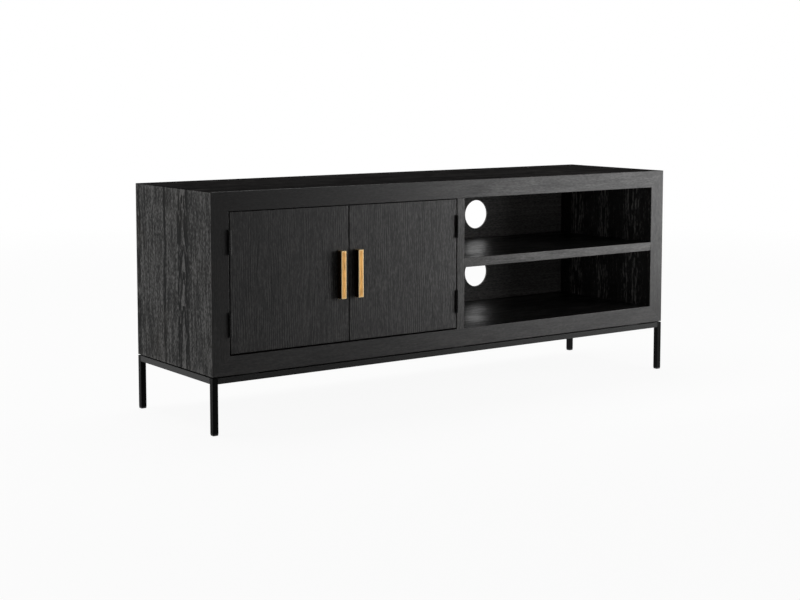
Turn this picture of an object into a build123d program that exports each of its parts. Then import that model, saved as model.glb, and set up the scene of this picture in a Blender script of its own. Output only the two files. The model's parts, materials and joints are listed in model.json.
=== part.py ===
from build123d import *
import os

os.makedirs("parts", exist_ok=True)

# A low media cabinet: a mitred carcass with two hinged doors on the left, two open bays on the
# right and a slim square-tube base. Millimetres, +X to the viewer's right, +Y from the front to
# the back, +Z up. The origin lies on the floor under the middle of the overall box.

# Carcass boards
width = 1500.0
depth = 400.0
carcass_height = 445.0
panel_thickness = 48.0
divider_thickness = 25.0
shelf_thickness = 25.0
lower_bay_height = 164.0
edge_radius = 1.0

# Back board in its rebate, and the round cable holes through it
back_thickness = 6.0
back_setback = 1.5
back_play = 0.5
rebate_width = 14.0
cable_hole_diameter = 85.0
cable_hole_spacing = 175.0
cable_hole_shift = 6.5
cable_hole_drop = 2.0

# Hidden carcass joints
spline_thickness = 4.0
spline_width = 22.0
spline_corner_distance = 28.0
spline_end_distance = 25.0
dowel_diameter = 8.0
dowel_reach = 20.0
dowel_skin = 3.0
dowel_end_distance = 60.0
dowels_per_joint = 3

# Shelf behind the doors, resting on four spade pegs
inner_shelf_thickness = 18.0
inner_shelf_setback = 30.0
inner_shelf_play = 0.8
peg_diameter = 5.0
peg_depth = 9.0
peg_tab_width = 10.0
peg_tab_reach = 9.0
peg_tab_thickness = 3.0
peg_end_distance = 45.0

# Doors, hung a little above the middle of the opening
door_thickness = 20.0
door_gap = 2.5
door_lift = 1.0

# Handles: a solid bar standing on the door, held by screws from behind
handle_length = 122.0
handle_width = 15.0
handle_reach = 17.0
handle_edge_radius = 1.5
handle_inset = 26.0
handle_screw_spacing = 96.0
handle_screw_diameter = 4.0
handle_screw_head = 8.0
handle_screw_head_height = 2.4
handle_screw_engagement = 10.0

# Butt hinges, with their knuckles standing in front of the door faces
hinge_height = 60.0
hinge_spacing = 200.0
leaf_thickness = 1.5
leaf_reach = 16.0
mortise_play = 0.2
knuckle_diameter = 7.0
knuckle_count = 5
knuckle_gap = 0.3
knuckle_face_gap = 0.5
hinge_pin_diameter = 3.5
hinge_pin_head = 6.0
hinge_pin_head_height = 1.2
hinge_screw_diameter = 3.0
hinge_screw_head = 5.5
hinge_screw_length = 15.0
hinge_screw_spacing = 20.0
hinge_screws_per_leaf = 3

# Magnetic catches under the top board, and their strike plates on the doors
catch_inset = 60.0
catch_core_width = 26.0
catch_height = 18.0
catch_depth = 14.0
catch_ear_span = 48.0
catch_ear_thickness = 4.0
catch_gap = 0.2
magnet_width = 20.0
magnet_depth = 9.0
magnet_thickness = 5.0
pole_thickness = 1.5
pole_proud = 0.5
catch_screw_diameter = 3.0
catch_screw_head = 5.5
catch_screw_head_height = 2.0
catch_screw_length = 16.0
catch_screw_spacing = 37.0
strike_width = 44.0
strike_height = 12.0
strike_thickness = 1.5
strike_screw_diameter = 3.0
strike_screw_head = 5.5
strike_screw_length = 12.0
strike_screw_spacing = 33.0

# Back board screws
back_screw_diameter = 3.0
back_screw_head = 6.0
back_screw_length = 22.0
back_screw_end_distance = 90.0
back_screws_per_row = 5
back_screws_per_column = 2

# Steel base: square tube, flat seat plates that leave a shadow gap, and plastic glides
base_height = 140.0
tube_size = 15.0
tube_wall = 1.5
tube_corner_radius = 1.0
plate_thickness = 2.5
plate_width = 40.0
plate_length = 44.0
plate_edge_distance = 4.0
plate_hole_distance = 12.0
plate_end_distance = 110.0
plates_per_rail = 3
base_screw_diameter = 4.5
base_screw_head = 9.0
base_screw_head_height = 3.0
base_screw_length = 30.0
glide_height = 4.0
glide_plug_height = 14.0
glide_corner_radius = 2.5
glide_edge_radius = 1.5

# Clearances, on each side
fit_clearance = 0.1
running_clearance = 0.05

# Cross recess of a screw head, as shares of its head diameter
recess_span_share = 0.5
recess_width_share = 0.14
recess_depth_share = 0.15
pan_rounding_share = 0.6

# Levels, depths and side positions that follow from the sizes above
front = (handle_reach - depth) / 2
back = front + depth
rebate_depth = back_thickness + back_setback
inner_depth = depth - rebate_depth
inner_back = front + inner_depth
door_back = front + door_thickness

carcass_bottom = base_height + plate_thickness
carcass_top = carcass_bottom + carcass_height
opening_bottom = carcass_bottom + panel_thickness
opening_top = carcass_top - panel_thickness
opening_height = opening_top - opening_bottom
opening_middle = (opening_bottom + opening_top) / 2
shelf_bottom = opening_bottom + lower_bay_height
shelf_middle = shelf_bottom + shelf_thickness / 2

opening_width = width - 2 * panel_thickness
bay_width = (opening_width - divider_thickness) / 2
door_bay_left = -opening_width / 2
door_bay_right = -divider_thickness / 2
media_bay_left = divider_thickness / 2
media_bay_right = opening_width / 2
meeting_line = (door_bay_left + door_bay_right) / 2
media_bay_middle = (media_bay_left + media_bay_right) / 2

door_width = (bay_width - 3 * door_gap) / 2
door_height = opening_height - 2 * door_gap
hinge_levels = [opening_middle - hinge_spacing / 2, opening_middle + hinge_spacing / 2]
hinge_axis_depth = front - knuckle_diameter / 2 - knuckle_face_gap
knuckle_pitch = hinge_height / knuckle_count
leaf_height = hinge_height - knuckle_gap
dowel_seat = divider_thickness / 2 - dowel_skin

up = (0, 0, 1)
down = (0, 0, -1)
forward = (0, -1, 0)
backward = (0, 1, 0)
rightward = (1, 0, 0)
leftward = (-1, 0, 0)


def write(piece, name):
    piece.part.label = name
    export_step(piece.part, f"parts/{name}.step")


def spread(start, end, count):
    return [start + (end - start) * step / (count - 1) for step in range(count)]


def seats(points, outward):
    return [Plane(origin=point, z_dir=outward) for point in points]


def hole_radius(diameter):
    return diameter / 2 + fit_clearance


def cross_slots(head_diameter):
    # Two crossed slots, as seen from above a screw head
    span = head_diameter * recess_span_share
    slot = head_diameter * recess_width_share
    with BuildSketch() as slots:
        Rectangle(span, slot)
        Rectangle(slot, span)
    return slots.sketch


def countersunk_screw(diameter, head_diameter, length):
    # The head's flat lies at the origin and the shank points down
    head_height = (head_diameter - diameter) / 2
    with BuildPart() as screw:
        with BuildSketch(Plane.XZ):
            with BuildLine():
                Polyline(
                    (0, 0),
                    (head_diameter / 2, 0),
                    (diameter / 2, -head_height),
                    (diameter / 2, diameter - length),
                    (0, -length),
                    close=True,
                )
            make_face()
        revolve(axis=Axis.Z)
        with BuildSketch():
            add(cross_slots(head_diameter))
        extrude(amount=-head_diameter * recess_depth_share, mode=Mode.SUBTRACT)
    return screw.part


def pan_head_screw(diameter, head_diameter, head_height, length, point_length):
    # The underside of the head lies at the origin and the shank points down
    with BuildPart() as screw:
        with BuildSketch(Plane.XZ):
            with BuildLine():
                Polyline(
                    (0, head_height),
                    (head_diameter / 2, head_height),
                    (head_diameter / 2, 0),
                    (diameter / 2, 0),
                    (diameter / 2, point_length - length),
                    (0, -length),
                    close=True,
                )
            make_face()
        revolve(axis=Axis.Z)
        fillet(screw.faces().sort_by(Axis.Z)[-1].edges(), head_height * pan_rounding_share)
        with BuildSketch(Plane.XY.offset(head_height)):
            add(cross_slots(head_diameter))
        extrude(amount=-head_diameter * recess_depth_share, mode=Mode.SUBTRACT)
    return screw.part


def fastener_set(screw, places):
    with BuildPart() as fasteners:
        with Locations(*places):
            add(screw)
    return fasteners


# Places shared by the holes and by what goes into them
dowel_depths = spread(front + dowel_end_distance, inner_back - dowel_end_distance, dowels_per_joint)
divider_dowel_points = {
    level: [(0, y, level) for y in dowel_depths] for level in (opening_bottom, opening_top)
}
shelf_dowel_points = {
    side: [(side, y, shelf_middle) for y in dowel_depths] for side in (media_bay_left, media_bay_right)
}
inner_shelf_front = door_back + inner_shelf_setback
peg_depths = spread(inner_shelf_front + peg_end_distance, inner_back - peg_end_distance, 2)
peg_level = shelf_bottom - peg_tab_thickness / 2
peg_points = {
    side: [(side, y, peg_level) for y in peg_depths] for side in (door_bay_left, door_bay_right)
}

back_face = back - back_setback
row_xs = spread(
    back_screw_end_distance - opening_width / 2,
    opening_width / 2 - back_screw_end_distance,
    back_screws_per_row,
)
column_levels = spread(
    opening_bottom + back_screw_end_distance,
    opening_top - back_screw_end_distance,
    back_screws_per_column,
)
back_screw_points = {
    "top": [(x, back_face, opening_top + rebate_width / 2) for x in row_xs],
    "bottom": [(x, back_face, opening_bottom - rebate_width / 2) for x in row_xs],
    "left": [(-(opening_width + rebate_width) / 2, back_face, z) for z in column_levels],
    "right": [((opening_width + rebate_width) / 2, back_face, z) for z in column_levels],
    "divider": [(0, back_face, z) for z in column_levels],
}
back_pilot_depth = back_screw_length + fit_clearance

rail_middles = {"front": front + tube_size / 2, "back": back - tube_size / 2}
plate_xs = spread(plate_end_distance - width / 2, width / 2 - plate_end_distance, plates_per_rail)
plate_middles = [
    front + plate_edge_distance + plate_length / 2,
    back - plate_edge_distance - plate_length / 2,
]
base_screw_points = [
    (x, y, base_height)
    for x in plate_xs
    for y in (
        front + plate_edge_distance + plate_length - plate_hole_distance,
        back - plate_edge_distance - plate_length + plate_hole_distance,
    )
]

# For each door: its hinge axis, and the way that the door reaches from there
doors = {
    "left": (door_bay_left + door_gap / 2, 1),
    "right": (door_bay_right - door_gap / 2, -1),
}


def hinge_screw_points(axis_x, wood_side, mid_z):
    # Head centres on the gap side of a leaf
    x = axis_x + wood_side * door_gap / 2
    half = hinge_screw_spacing * (hinge_screws_per_leaf - 1) / 2
    levels = spread(mid_z - half, mid_z + half, hinge_screws_per_leaf)
    return [(x, front + leaf_reach / 2, z) for z in levels]


def all_hinge_screw_points(axis_x, wood_side):
    return [point for mid_z in hinge_levels for point in hinge_screw_points(axis_x, wood_side, mid_z)]


def catch_middle(reach):
    return meeting_line - reach * catch_inset


def catch_screw_points(reach):
    middle_y = catch_front + catch_depth / 2
    half = catch_screw_spacing / 2
    ends = (catch_middle(reach) - half, catch_middle(reach) + half)
    return [(x, middle_y, opening_top - catch_ear_thickness) for x in ends]


def strike_screw_points(reach):
    half = strike_screw_spacing / 2
    ends = (catch_middle(reach) - half, catch_middle(reach) + half)
    return [(x, door_back + strike_thickness, strike_level) for x in ends]


def handle_points(reach, y):
    x = meeting_line - reach * handle_inset
    half = handle_screw_spacing / 2
    return [(x, y, opening_middle - half), (x, y, opening_middle + half)]


catch_front = door_back + strike_thickness + catch_gap + pole_proud
strike_level = opening_top - catch_height / 2
all_catch_screw_points = [point for _, reach in doors.values() for point in catch_screw_points(reach)]


def mitred_board(outer_plane, length):
    # Local x runs along the board, local y points out of the carcass and the ends are cut at 45
    # degrees; the sharp mitre tips are eased together with the long edges
    half = length / 2
    with BuildPart() as board:
        with BuildSketch(outer_plane):
            with BuildLine():
                Polyline(
                    (edge_radius - half, 0),
                    (half - edge_radius, 0),
                    (half - edge_radius / 2, -edge_radius / 2),
                    (half - panel_thickness, -panel_thickness),
                    (panel_thickness - half, -panel_thickness),
                    (edge_radius / 2 - half, -edge_radius / 2),
                    close=True,
                )
            make_face()
        extrude(amount=-depth)
        long_edges = board.edges().filter_by(Axis((0, 0, 0), outer_plane.x_dir))
        outer_edges = long_edges.sort_by(Axis((0, 0, 0), outer_plane.y_dir))[-2:]
        fillet(long_edges.group_by(Axis.Y)[0] + outer_edges.sort_by(Axis.Y)[-1:], edge_radius)
        with BuildSketch(Plane.XZ.offset(-back)):
            with Locations((0, opening_middle)):
                Rectangle(opening_width + 2 * rebate_width, opening_height + 2 * rebate_width)
        extrude(amount=rebate_depth, mode=Mode.SUBTRACT)
        with BuildSketch(outer_plane.offset(fit_clearance - spline_end_distance)):
            for end in (-1, 1):
                with Locations((end * (half - spline_corner_distance), -spline_corner_distance)):
                    Rectangle(
                        spline_width + 2 * fit_clearance,
                        spline_thickness + 2 * fit_clearance,
                        rotation=-45 * end,
                    )
        extrude(amount=2 * (spline_end_distance - fit_clearance) - inner_depth, mode=Mode.SUBTRACT)
    return board.part


# Outer planes of the four mitred boards, at the carcass front
outer_planes = {
    "top": Plane(origin=(0, front, carcass_top), x_dir=rightward, z_dir=forward),
    "bottom": Plane(origin=(0, front, carcass_bottom), x_dir=leftward, z_dir=forward),
    "left": Plane(
        origin=(-width / 2, front, (carcass_bottom + carcass_top) / 2), x_dir=up, z_dir=forward
    ),
    "right": Plane(
        origin=(width / 2, front, (carcass_bottom + carcass_top) / 2), x_dir=down, z_dir=forward
    ),
}

# Top board
with BuildPart() as top_panel:
    add(mitred_board(outer_planes["top"], width))
    with Locations(*seats(divider_dowel_points[opening_top], down)):
        Hole(hole_radius(dowel_diameter), dowel_reach + fit_clearance)
    with Locations(*seats(back_screw_points["top"], backward)):
        Hole(hole_radius(back_screw_diameter), back_pilot_depth)
    with Locations(*seats(all_catch_screw_points, down)):
        Hole(hole_radius(catch_screw_diameter), catch_screw_length + fit_clearance)
write(top_panel, "top_panel")

# Bottom board
with BuildPart() as bottom_panel:
    add(mitred_board(outer_planes["bottom"], width))
    with Locations(*seats(divider_dowel_points[opening_bottom], up)):
        Hole(hole_radius(dowel_diameter), dowel_reach + fit_clearance)
    with Locations(*seats(back_screw_points["bottom"], backward)):
        Hole(hole_radius(back_screw_diameter), back_pilot_depth)
    with Locations(*seats(base_screw_points, down)):
        Hole(hole_radius(base_screw_diameter), base_screw_length + fit_clearance)
write(bottom_panel, "bottom_panel")

# Left side board, which carries the left door and one end of the inner shelf
left_axis = doors["left"][0]
with BuildPart() as left_side_panel:
    add(mitred_board(outer_planes["left"], carcass_height))
    with Locations(*[(door_bay_left, front, z) for z in hinge_levels]):
        Box(
            2 * leaf_thickness,
            2 * (leaf_reach + mortise_play),
            hinge_height + 2 * mortise_play,
            mode=Mode.SUBTRACT,
        )
    with Locations(*seats(all_hinge_screw_points(left_axis, -1), rightward)):
        Hole(hole_radius(hinge_screw_diameter), hinge_screw_length + fit_clearance)
    with Locations(*seats(peg_points[door_bay_left], rightward)):
        Hole(hole_radius(peg_diameter), peg_depth + fit_clearance)
    with Locations(*seats(back_screw_points["left"], backward)):
        Hole(hole_radius(back_screw_diameter), back_pilot_depth)
write(left_side_panel, "left_side_panel")

# Right side board
with BuildPart() as right_side_panel:
    add(mitred_board(outer_planes["right"], carcass_height))
    with Locations(*seats(shelf_dowel_points[media_bay_right], leftward)):
        Hole(hole_radius(dowel_diameter), dowel_seat + fit_clearance)
    with Locations(*seats(back_screw_points["right"], backward)):
        Hole(hole_radius(back_screw_diameter), back_pilot_depth)
write(right_side_panel, "right_side_panel")

# Centre divider, which carries the right door
right_axis = doors["right"][0]
with BuildPart() as centre_divider:
    with BuildSketch(Plane.XY.offset(opening_bottom)):
        with Locations((0, front)):
            Rectangle(divider_thickness, inner_depth, align=(Align.CENTER, Align.MIN))
    extrude(amount=opening_height)
    fillet(centre_divider.edges().filter_by(Axis.Z).group_by(Axis.Y)[0], edge_radius)
    with Locations(*[(door_bay_right, front, z) for z in hinge_levels]):
        Box(
            2 * leaf_thickness,
            2 * (leaf_reach + mortise_play),
            hinge_height + 2 * mortise_play,
            mode=Mode.SUBTRACT,
        )
    with Locations(*seats(all_hinge_screw_points(right_axis, 1), leftward)):
        Hole(hole_radius(hinge_screw_diameter), hinge_screw_length + fit_clearance)
    with Locations(*seats(divider_dowel_points[opening_bottom], down)):
        Hole(hole_radius(dowel_diameter), dowel_reach + fit_clearance)
    with Locations(*seats(divider_dowel_points[opening_top], up)):
        Hole(hole_radius(dowel_diameter), dowel_reach + fit_clearance)
    with Locations(*seats(shelf_dowel_points[media_bay_left], rightward)):
        Hole(hole_radius(dowel_diameter), dowel_seat + fit_clearance)
    with Locations(*seats(peg_points[door_bay_right], leftward)):
        Hole(hole_radius(peg_diameter), peg_depth + fit_clearance)
    with Locations(*seats(back_screw_points["divider"], backward)):
        Hole(hole_radius(back_screw_diameter), back_pilot_depth)
write(centre_divider, "centre_divider")

# Fixed shelf between the two open bays
with BuildPart() as media_shelf:
    with BuildSketch(Plane.XY.offset(shelf_bottom)):
        with Locations((media_bay_middle, front)):
            Rectangle(bay_width, inner_depth, align=(Align.CENTER, Align.MIN))
    extrude(amount=shelf_thickness)
    fillet(media_shelf.edges().filter_by(Axis.X).group_by(Axis.Y)[0], edge_radius)
    with Locations(*seats(shelf_dowel_points[media_bay_left], leftward)):
        Hole(hole_radius(dowel_diameter), dowel_reach + fit_clearance)
    with Locations(*seats(shelf_dowel_points[media_bay_right], rightward)):
        Hole(hole_radius(dowel_diameter), dowel_reach + fit_clearance)
write(media_shelf, "media_shelf")

# Loose shelf behind the doors
with BuildPart() as door_bay_shelf:
    with BuildSketch(Plane.XY.offset(shelf_bottom)):
        with Locations((meeting_line, inner_back - fit_clearance)):
            Rectangle(
                bay_width - 2 * inner_shelf_play,
                inner_back - fit_clearance - inner_shelf_front,
                align=(Align.CENTER, Align.MAX),
            )
    extrude(amount=inner_shelf_thickness)
    fillet(door_bay_shelf.edges().filter_by(Axis.X).group_by(Axis.Y)[0], edge_radius)
write(door_bay_shelf, "door_bay_shelf")

# Spade pegs: a round peg in the wall and a flat tab under the shelf
with BuildPart() as shelf_pegs:
    for side, inward in ((door_bay_left, 1), (door_bay_right, -1)):
        with BuildSketch(Plane.YZ.offset(side)):
            with Locations(*[(y, z) for _, y, z in peg_points[side]]):
                Circle(peg_diameter / 2)
        extrude(amount=-inward * peg_depth)
        with BuildSketch(Plane.YZ.offset(side)):
            with Locations(*[(y, z) for _, y, z in peg_points[side]]):
                Rectangle(peg_tab_width, peg_tab_thickness)
        extrude(amount=inward * peg_tab_reach)
write(shelf_pegs, "shelf_pegs")

# Back board with a cable hole for each open bay
with BuildPart() as back_panel:
    with BuildSketch(Plane.XZ.offset(-back_face)):
        with Locations((0, opening_middle)):
            Rectangle(
                opening_width + 2 * (rebate_width - back_play),
                opening_height + 2 * (rebate_width - back_play),
            )
        with Locations((media_bay_middle + cable_hole_shift, opening_middle - cable_hole_drop)):
            with GridLocations(0, cable_hole_spacing, 1, 2):
                Circle(cable_hole_diameter / 2, mode=Mode.SUBTRACT)
    extrude(amount=back_thickness)
    with Locations(*seats([point for row in back_screw_points.values() for point in row], backward)):
        CounterSinkHole(
            hole_radius(back_screw_diameter),
            hole_radius(back_screw_head),
            back_thickness,
            counter_sink_angle=90,
        )
write(back_panel, "back_panel")

back_panel_screws = fastener_set(
    countersunk_screw(back_screw_diameter, back_screw_head, back_screw_length),
    seats([point for row in back_screw_points.values() for point in row], backward),
)
write(back_panel_screws, "back_panel_screws")

# Tongues across the four mitres
with BuildPart() as mitre_splines:
    for name in ("top", "bottom"):
        with BuildSketch(outer_planes[name].offset(-spline_end_distance)):
            for end in (-1, 1):
                with Locations((end * (width / 2 - spline_corner_distance), -spline_corner_distance)):
                    Rectangle(spline_width, spline_thickness, rotation=-45 * end)
        extrude(amount=2 * spline_end_distance - inner_depth)
write(mitre_splines, "mitre_splines")

# Dowels between the divider and the top and bottom boards
with BuildPart() as divider_dowels:
    with Locations(*[point for level in divider_dowel_points.values() for point in level]):
        Cylinder(dowel_diameter / 2, 2 * dowel_reach)
write(divider_dowels, "divider_dowels")

# Dowels at the ends of the fixed shelf, shallow in the wall and deep in the shelf
with BuildPart() as media_shelf_dowels:
    for side, inward in ((media_bay_left, 1), (media_bay_right, -1)):
        with BuildSketch(Plane.YZ.offset(side - inward * dowel_seat)):
            with Locations(*[(y, z) for _, y, z in shelf_dowel_points[side]]):
                Circle(dowel_diameter / 2)
        extrude(amount=inward * (dowel_seat + dowel_reach))
write(media_shelf_dowels, "media_shelf_dowels")


def hinge_leaf(axis_x, wood_side, mid_z, knuckles):
    # A flat plate let into the wood and every other knuckle of the barrel
    half = knuckle_pitch * (knuckle_count - 1) / 2
    levels = spread(mid_z - half, mid_z + half, knuckle_count)
    own = [(axis_x, hinge_axis_depth, levels[index]) for index in knuckles]
    other = [(axis_x, hinge_axis_depth, z) for index, z in enumerate(levels) if index not in knuckles]
    with BuildPart() as leaf:
        with BuildSketch(Plane.XY.offset(mid_z - leaf_height / 2)):
            with Locations((axis_x + wood_side * (door_gap + leaf_thickness) / 2, hinge_axis_depth)):
                Rectangle(
                    leaf_thickness,
                    front + leaf_reach - hinge_axis_depth,
                    align=(Align.CENTER, Align.MIN),
                )
        extrude(amount=leaf_height)
        with Locations(*other):
            Cylinder(
                knuckle_diameter / 2 + knuckle_gap, knuckle_pitch + knuckle_gap, mode=Mode.SUBTRACT
            )
        with Locations(*own):
            Cylinder(knuckle_diameter / 2, knuckle_pitch - knuckle_gap)
        with Locations((axis_x, hinge_axis_depth, mid_z)):
            Cylinder(
                hinge_pin_diameter / 2 + running_clearance, hinge_height, mode=Mode.SUBTRACT
            )
        with Locations(*seats(hinge_screw_points(axis_x, wood_side, mid_z), (-wood_side, 0, 0))):
            CounterSinkHole(
                hole_radius(hinge_screw_diameter),
                hole_radius(hinge_screw_head),
                leaf_thickness,
                counter_sink_angle=90,
            )
    return leaf


def hinge_pin(axis_x, mid_z):
    # The pin runs through all the knuckles and hangs by its head
    bottom = mid_z - leaf_height / 2
    head_seat = mid_z + leaf_height / 2
    with BuildPart() as pin:
        with BuildSketch(Plane.XY.offset(bottom)):
            with Locations((axis_x, hinge_axis_depth)):
                Circle(hinge_pin_diameter / 2)
        extrude(amount=head_seat - bottom)
        with BuildSketch(Plane.XY.offset(head_seat)):
            with Locations((axis_x, hinge_axis_depth)):
                Circle(hinge_pin_head / 2)
        extrude(amount=hinge_pin_head_height)
        fillet(pin.faces().sort_by(Axis.Z)[-1].edges(), hinge_pin_head_height * pan_rounding_share)
    return pin


hinge_screw = countersunk_screw(hinge_screw_diameter, hinge_screw_head, hinge_screw_length)
strike_screw = countersunk_screw(strike_screw_diameter, strike_screw_head, strike_screw_length)
handle_screw = pan_head_screw(
    handle_screw_diameter,
    handle_screw_head,
    handle_screw_head_height,
    door_thickness + handle_screw_engagement,
    0,
)
frame_knuckles = range(0, knuckle_count, 2)
door_knuckles = range(1, knuckle_count, 2)

for side, (axis_x, reach) in doors.items():
    hinge_edge = axis_x + reach * door_gap / 2
    door_middle = hinge_edge + reach * door_width / 2
    handle_x = meeting_line - reach * handle_inset

    # Door board with hinge mortises and screw holes
    with BuildPart() as door:
        with BuildSketch(Plane.XZ.offset(-front)):
            with Locations((door_middle, opening_middle + door_lift)):
                Rectangle(door_width, door_height)
        extrude(amount=-door_thickness)
        fillet(door.faces().sort_by(Axis.Y)[0].edges(), edge_radius)
        with Locations(*[(hinge_edge, front, z) for z in hinge_levels]):
            Box(
                2 * leaf_thickness,
                2 * (leaf_reach + mortise_play),
                hinge_height + 2 * mortise_play,
                mode=Mode.SUBTRACT,
            )
        with Locations(*seats(all_hinge_screw_points(axis_x, reach), (-reach, 0, 0))):
            Hole(hole_radius(hinge_screw_diameter), hinge_screw_length + fit_clearance)
        with Locations(*seats(handle_points(reach, front), forward)):
            Hole(hole_radius(handle_screw_diameter), door_thickness)
        with Locations(*seats(strike_screw_points(reach), backward)):
            Hole(hole_radius(strike_screw_diameter), strike_screw_length + fit_clearance)
    write(door, f"{side}_door")

    # Handle bar and the two screws that draw it to the door
    with BuildPart() as handle_bar:
        with BuildSketch(Plane.XZ.offset(-front)):
            with Locations((handle_x, opening_middle)):
                Rectangle(handle_width, handle_length)
        extrude(amount=handle_reach)
        face_edges = handle_bar.faces().sort_by(Axis.Y)[0].edges()
        fillet(face_edges + handle_bar.edges().filter_by(Axis.Y), handle_edge_radius)
        with Locations(*seats(handle_points(reach, front), backward)):
            Hole(hole_radius(handle_screw_diameter), handle_screw_engagement + fit_clearance)
    write(handle_bar, f"{side}_handle_bar")

    handle_screws = fastener_set(handle_screw, seats(handle_points(reach, door_back), backward))
    write(handle_screws, f"{side}_handle_screws")

    # Two butt hinges: the pin and the longer set of knuckles stay with the carcass
    for position, mid_z in zip(("lower", "upper"), hinge_levels):
        write(hinge_leaf(axis_x, -reach, mid_z, frame_knuckles), f"{side}_{position}_hinge_frame_leaf")
        write(hinge_leaf(axis_x, reach, mid_z, door_knuckles), f"{side}_{position}_hinge_door_leaf")
        write(hinge_pin(axis_x, mid_z), f"{side}_{position}_hinge_pin")
    for carrier, wood_side in (("frame", -reach), ("door", reach)):
        places = seats(all_hinge_screw_points(axis_x, wood_side), (-wood_side, 0, 0))
        write(fastener_set(hinge_screw, places), f"{side}_hinge_{carrier}_screws")

    # Strike plate on the back of the door
    with BuildPart() as strike_plate:
        with BuildSketch(Plane.XZ.offset(-door_back)):
            with Locations((catch_middle(reach), strike_level)):
                Rectangle(strike_width, strike_height)
        extrude(amount=-strike_thickness)
        with Locations(*seats(strike_screw_points(reach), backward)):
            CounterSinkHole(
                hole_radius(strike_screw_diameter),
                hole_radius(strike_screw_head),
                strike_thickness,
                counter_sink_angle=90,
            )
    write(strike_plate, f"{side}_strike_plate")
    strike_screws = fastener_set(strike_screw, seats(strike_screw_points(reach), backward))
    write(strike_screws, f"{side}_strike_screws")

    # Magnetic catch: an eared housing with a magnet between two steel pole plates
    stack_height = magnet_thickness + 2 * pole_thickness
    with BuildPart() as catch_housing:
        with BuildSketch(Plane.XY.offset(opening_top)):
            with Locations((catch_middle(reach), catch_front)):
                Rectangle(catch_core_width, catch_depth, align=(Align.CENTER, Align.MIN))
        extrude(amount=-catch_height)
        with BuildSketch(Plane.XY.offset(opening_top)):
            with Locations((catch_middle(reach), catch_front)):
                Rectangle(catch_ear_span, catch_depth, align=(Align.CENTER, Align.MIN))
        extrude(amount=-catch_ear_thickness)
        with BuildSketch(Plane.XZ.offset(-catch_front)):
            with Locations((catch_middle(reach), strike_level)):
                Rectangle(magnet_width + 2 * fit_clearance, stack_height + 2 * fit_clearance)
        extrude(amount=-magnet_depth - fit_clearance, mode=Mode.SUBTRACT)
        with Locations(*seats(catch_screw_points(reach), down)):
            Hole(hole_radius(catch_screw_diameter), catch_ear_thickness)
    write(catch_housing, f"{side}_catch_housing")

    with BuildPart() as catch_magnet:
        with BuildSketch(Plane.XZ.offset(-catch_front)):
            with Locations((catch_middle(reach), strike_level)):
                Rectangle(magnet_width, magnet_thickness)
        extrude(amount=-magnet_depth)
    write(catch_magnet, f"{side}_catch_magnet")

    with BuildPart() as pole_plates:
        with BuildSketch(Plane.XZ.offset(pole_proud - catch_front)):
            with Locations((catch_middle(reach), strike_level)):
                with GridLocations(0, magnet_thickness + pole_thickness, 1, 2):
                    Rectangle(magnet_width, pole_thickness)
        extrude(amount=-magnet_depth - pole_proud)
    write(pole_plates, f"{side}_catch_pole_plates")

catch_screws = fastener_set(
    pan_head_screw(
        catch_screw_diameter,
        catch_screw_head,
        catch_screw_head_height,
        catch_screw_length,
        catch_screw_diameter,
    ),
    seats(all_catch_screw_points, down),
)
write(catch_screws, "catch_screws")

# Base rails, welded between the legs
tube_bore = tube_size - 2 * tube_wall
rail_level = base_height - tube_size / 2
for name, y in rail_middles.items():
    with BuildPart() as long_rail:
        with BuildSketch(Plane.YZ.offset(tube_size - width / 2)):
            with Locations((y, rail_level)):
                RectangleRounded(tube_size, tube_size, tube_corner_radius)
                Rectangle(tube_bore, tube_bore, mode=Mode.SUBTRACT)
        extrude(amount=width - 2 * tube_size)
    write(long_rail, f"{name}_rail")

for name, x in (("left", (tube_size - width) / 2), ("right", (width - tube_size) / 2)):
    with BuildPart() as side_rail:
        with BuildSketch(Plane.XZ.offset(-front - tube_size)):
            with Locations((x, rail_level)):
                RectangleRounded(tube_size, tube_size, tube_corner_radius)
                Rectangle(tube_bore, tube_bore, mode=Mode.SUBTRACT)
        extrude(amount=2 * tube_size - depth)
    write(side_rail, f"{name}_rail")

    # Legs: square tube, closed at the top and open below for the glide
    for end, y in rail_middles.items():
        with BuildPart() as leg:
            with BuildSketch(Plane.XY.offset(glide_height)):
                with Locations((x, y)):
                    RectangleRounded(tube_size, tube_size, tube_corner_radius)
            extrude(amount=base_height - glide_height)
            with BuildSketch(Plane.XY.offset(glide_height)):
                with Locations((x, y)):
                    Rectangle(tube_bore, tube_bore)
            extrude(amount=base_height - glide_height - tube_wall, mode=Mode.SUBTRACT)
        write(leg, f"{end}_{name}_leg")

# Plastic glides: a rounded pad under each leg and a plug inside it
with BuildPart() as leg_glides:
    with BuildSketch():
        with Locations((0, (front + back) / 2)):
            with GridLocations(width - tube_size, depth - tube_size, 2, 2):
                RectangleRounded(tube_size, tube_size, glide_corner_radius)
    extrude(amount=glide_height)
    fillet(leg_glides.faces().group_by(Axis.Z)[0].edges(), glide_edge_radius)
    with BuildSketch(Plane.XY.offset(glide_height)):
        with Locations((0, (front + back) / 2)):
            with GridLocations(width - tube_size, depth - tube_size, 2, 2):
                Rectangle(tube_bore - 2 * fit_clearance, tube_bore - 2 * fit_clearance)
    extrude(amount=glide_plug_height)
write(leg_glides, "leg_glides")

# Seat plates welded on the long rails, and the screws up into the carcass
with BuildPart() as seat_plates:
    with BuildSketch(Plane.XY.offset(base_height)):
        with Locations(*[(x, y) for x in plate_xs for y in plate_middles]):
            Rectangle(plate_width, plate_length)
        with Locations(*[(x, y) for x, y, _ in base_screw_points]):
            Circle(hole_radius(base_screw_diameter), mode=Mode.SUBTRACT)
    extrude(amount=plate_thickness)
write(seat_plates, "seat_plates")

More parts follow.
